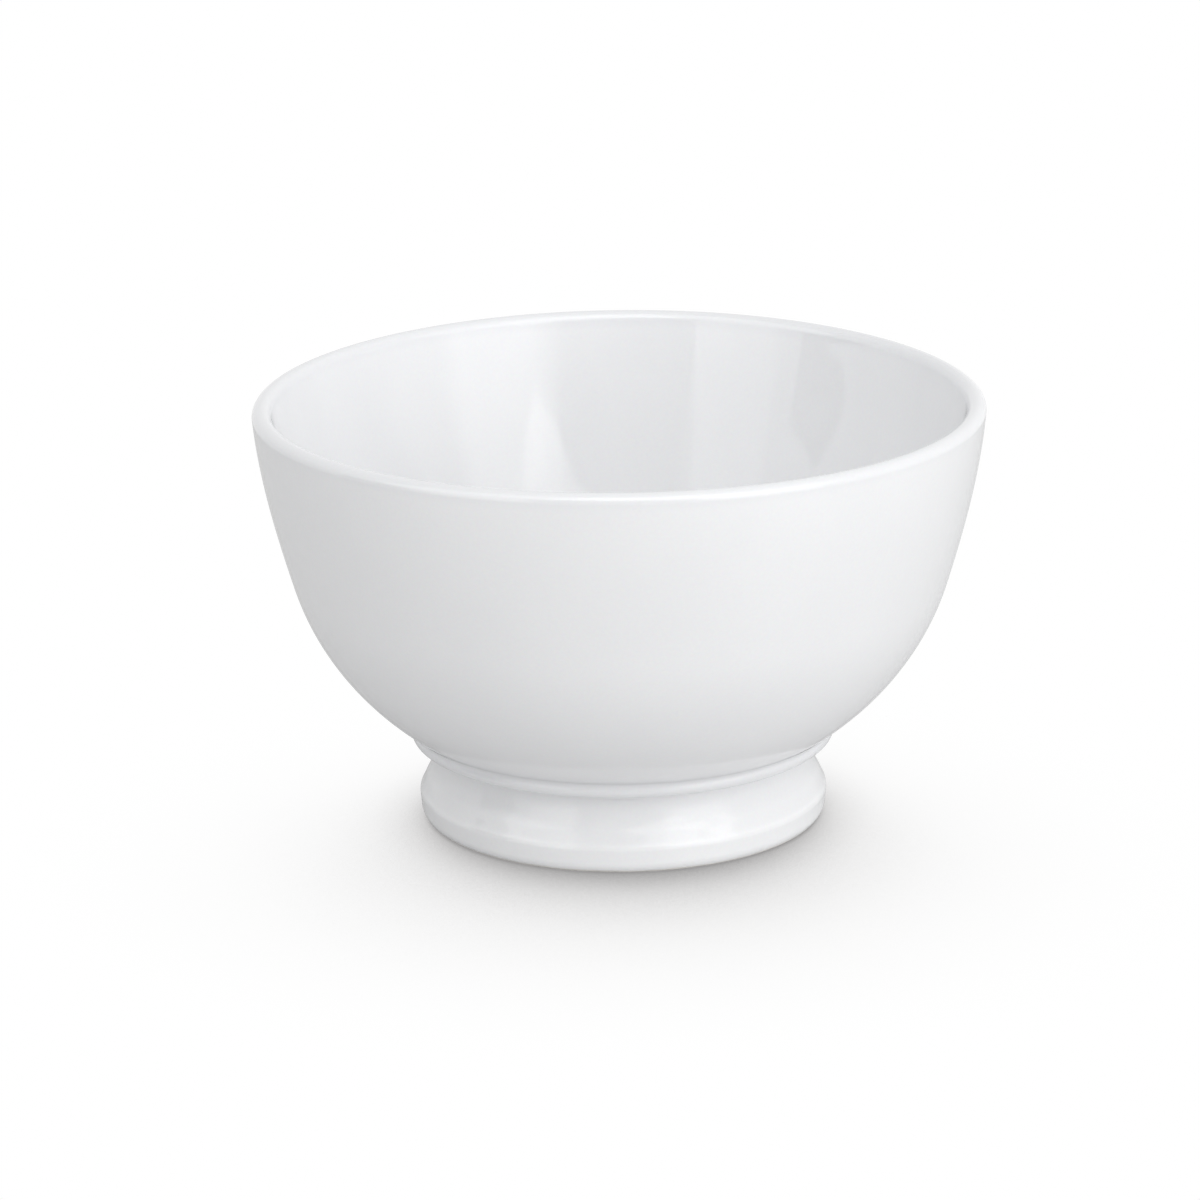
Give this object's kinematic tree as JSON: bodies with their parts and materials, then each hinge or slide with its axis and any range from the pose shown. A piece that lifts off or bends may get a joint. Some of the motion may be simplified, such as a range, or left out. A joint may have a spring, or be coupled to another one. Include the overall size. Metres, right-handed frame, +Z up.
{
  "type": "latte bowl",
  "caption": "Round footed drinking bowl with a curved wall, a softly rounded rim, a bead at the joint and a flared hollow foot.",
  "frame": {"origin": "centre of the standing ring, on the surface that the bowl stands on", "axes": "+Z up through the middle of the bowl; X and Y are alike, because every piece is turned about Z"},
  "size_m": [0.12, 0.12, 0.071],
  "materials": {
    "bowl_porcelain": "white porcelain under a clear glossy glaze",
    "foot_porcelain": "white porcelain under a clear glossy glaze, bare and satin on the standing ring",
    "fired_slip": "fired porcelain slip under the same clear glaze"
  },
  "bodies": {
    "root": {"bowl": "bowl_porcelain", "foot": "foot_porcelain", "slip_joint": "fired_slip"}
  },
  "joints": []
}
